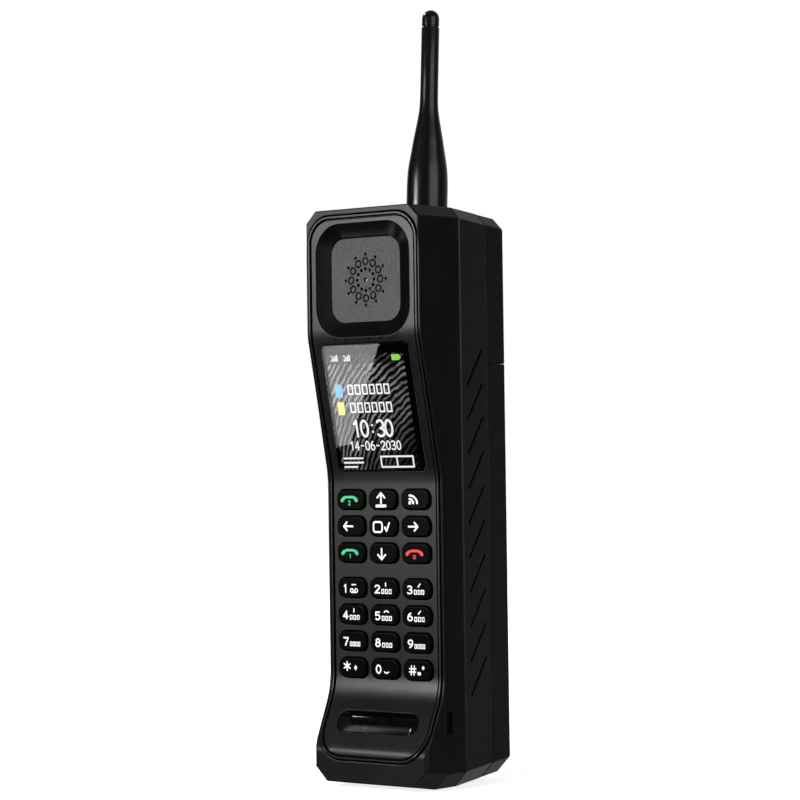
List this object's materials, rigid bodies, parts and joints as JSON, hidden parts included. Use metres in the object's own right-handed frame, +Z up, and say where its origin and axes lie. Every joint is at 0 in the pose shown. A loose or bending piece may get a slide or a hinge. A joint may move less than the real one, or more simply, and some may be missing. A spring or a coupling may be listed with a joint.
{
  "type": "brick cell phone",
  "caption": "Tall brick-shaped cell phone with a stub antenna, dished earpiece, sloped display, keypad, forward mouthpiece and a pull-off battery pack.",
  "frame": {"origin": "on the standing face, under the middle of the body's box", "axes": "+Z up along the body, -Y the front with the display and keys, +X to the right seen from the front"},
  "size_m": [0.0502, 0.049, 0.2629],
  "materials": {
    "housing": "fine-textured black",
    "fascia": "fine-textured dark grey",
    "gloss_black": "smooth black",
    "pad_grey": "grained grey",
    "keys": "satin black with printed legends",
    "lens": "clear, dark border",
    "picture": "lit picture film with a black border",
    "panel": "display cell",
    "steel": "plain",
    "brass": "plated",
    "silicone": "matt",
    "foot_rubber": "matt black",
    "board": "solder mask",
    "ribbon": "film",
    "inner_plastic": "moulded",
    "cell_foil": "foil",
    "antenna": "satin black"
  },
  "bodies": {
    "phone": {"front_housing": "housing", "rear_housing": "housing", "upper_rear_cover": "housing", "front_fascia": "fascia", "earpiece_recess": "gloss_black", "mouthpiece_insert": "gloss_black", "earpiece_grille": "pad_grey", "display_lens": "lens", "display_film": "picture", "display_panel": "panel", "display_frame": "steel", "key_domes": "steel", "shield_cans": "steel", "sim_holder": "steel", "vibration_motor": "steel", "charging_receptacle": "steel", "microphone": "steel", "earpiece_receiver": "steel", "loudspeaker": "steel", "housing_screws": "steel", "board_screws": "steel", "contact_pins": "brass", "antenna_bush": "brass", "keypad_mat": "silicone", "receiver_gasket": "silicone", "standing_foot": "foot_rubber", "main_board": "board", "display_ribbon": "ribbon", "contact_block": "inner_plastic"},
    "battery_pack": {"battery_case": "housing", "battery_lid": "inner_plastic", "battery_cell": "cell_foil", "battery_pads": "brass"},
    "antenna": {"antenna_ferrule": "brass", "antenna_rod": "steel", "antenna_sleeve": "antenna", "antenna_tip_cap": "antenna"},
    "key_call_two": {"key_call_two": "keys"},
    "key_up": {"key_up": "keys"},
    "key_menu": {"key_menu": "keys"},
    "key_left": {"key_left": "keys"},
    "key_select": {"key_select": "keys"},
    "key_right": {"key_right": "keys"},
    "key_call_one": {"key_call_one": "keys"},
    "key_down": {"key_down": "keys"},
    "key_end": {"key_end": "keys"},
    "key_1": {"key_1": "keys"},
    "key_2": {"key_2": "keys"},
    "key_3": {"key_3": "keys"},
    "key_4": {"key_4": "keys"},
    "key_5": {"key_5": "keys"},
    "key_6": {"key_6": "keys"},
    "key_7": {"key_7": "keys"},
    "key_8": {"key_8": "keys"},
    "key_9": {"key_9": "keys"},
    "key_star": {"key_star": "keys"},
    "key_0": {"key_0": "keys"},
    "key_hash": {"key_hash": "keys"}
  },
  "joints": [
    {"name": "battery_pull", "type": "slide", "parent": "phone", "child": "battery_pack", "axis": [0, 1, 0], "range_m": [0, 0.02]},
    {"name": "antenna_turn", "type": "hinge", "parent": "phone", "child": "antenna", "pos_m": [0.0056, 0.0047, 0.19304], "axis": [0, 0.0558, 0.9984], "range_deg": [0, 360]},
    {"name": "key_call_two_press", "type": "slide", "parent": "phone", "child": "key_call_two", "axis": [0, 1, 0], "range_m": [0, 0.0004], "stiffness_N_per_m": 1500},
    {"name": "key_up_press", "type": "slide", "parent": "phone", "child": "key_up", "axis": [0, 1, 0], "range_m": [0, 0.0004], "stiffness_N_per_m": 1500},
    {"name": "key_menu_press", "type": "slide", "parent": "phone", "child": "key_menu", "axis": [0, 1, 0], "range_m": [0, 0.0004], "stiffness_N_per_m": 1500},
    {"name": "key_left_press", "type": "slide", "parent": "phone", "child": "key_left", "axis": [0, 1, 0], "range_m": [0, 0.0004], "stiffness_N_per_m": 1500},
    {"name": "key_select_press", "type": "slide", "parent": "phone", "child": "key_select", "axis": [0, 1, 0], "range_m": [0, 0.0004], "stiffness_N_per_m": 1500},
    {"name": "key_right_press", "type": "slide", "parent": "phone", "child": "key_right", "axis": [0, 1, 0], "range_m": [0, 0.0004], "stiffness_N_per_m": 1500},
    {"name": "key_call_one_press", "type": "slide", "parent": "phone", "child": "key_call_one", "axis": [0, 1, 0], "range_m": [0, 0.0004], "stiffness_N_per_m": 1500},
    {"name": "key_down_press", "type": "slide", "parent": "phone", "child": "key_down", "axis": [0, 1, 0], "range_m": [0, 0.0004], "stiffness_N_per_m": 1500},
    {"name": "key_end_press", "type": "slide", "parent": "phone", "child": "key_end", "axis": [0, 1, 0], "range_m": [0, 0.0004], "stiffness_N_per_m": 1500},
    {"name": "key_1_press", "type": "slide", "parent": "phone", "child": "key_1", "axis": [0, 1, 0], "range_m": [0, 0.0004], "stiffness_N_per_m": 1500},
    {"name": "key_2_press", "type": "slide", "parent": "phone", "child": "key_2", "axis": [0, 1, 0], "range_m": [0, 0.0004], "stiffness_N_per_m": 1500},
    {"name": "key_3_press", "type": "slide", "parent": "phone", "child": "key_3", "axis": [0, 1, 0], "range_m": [0, 0.0004], "stiffness_N_per_m": 1500},
    {"name": "key_4_press", "type": "slide", "parent": "phone", "child": "key_4", "axis": [0, 1, 0], "range_m": [0, 0.0004], "stiffness_N_per_m": 1500},
    {"name": "key_5_press", "type": "slide", "parent": "phone", "child": "key_5", "axis": [0, 1, 0], "range_m": [0, 0.0004], "stiffness_N_per_m": 1500},
    {"name": "key_6_press", "type": "slide", "parent": "phone", "child": "key_6", "axis": [0, 1, 0], "range_m": [0, 0.0004], "stiffness_N_per_m": 1500},
    {"name": "key_7_press", "type": "slide", "parent": "phone", "child": "key_7", "axis": [0, 1, 0], "range_m": [0, 0.0004], "stiffness_N_per_m": 1500},
    {"name": "key_8_press", "type": "slide", "parent": "phone", "child": "key_8", "axis": [0, 1, 0], "range_m": [0, 0.0004], "stiffness_N_per_m": 1500},
    {"name": "key_9_press", "type": "slide", "parent": "phone", "child": "key_9", "axis": [0, 1, 0], "range_m": [0, 0.0004], "stiffness_N_per_m": 1500},
    {"name": "key_star_press", "type": "slide", "parent": "phone", "child": "key_star", "axis": [0, 1, 0], "range_m": [0, 0.0004], "stiffness_N_per_m": 1500},
    {"name": "key_0_press", "type": "slide", "parent": "phone", "child": "key_0", "axis": [0, 1, 0], "range_m": [0, 0.0004], "stiffness_N_per_m": 1500},
    {"name": "key_hash_press", "type": "slide", "parent": "phone", "child": "key_hash", "axis": [0, 1, 0], "range_m": [0, 0.0004], "stiffness_N_per_m": 1500}
  ]
}
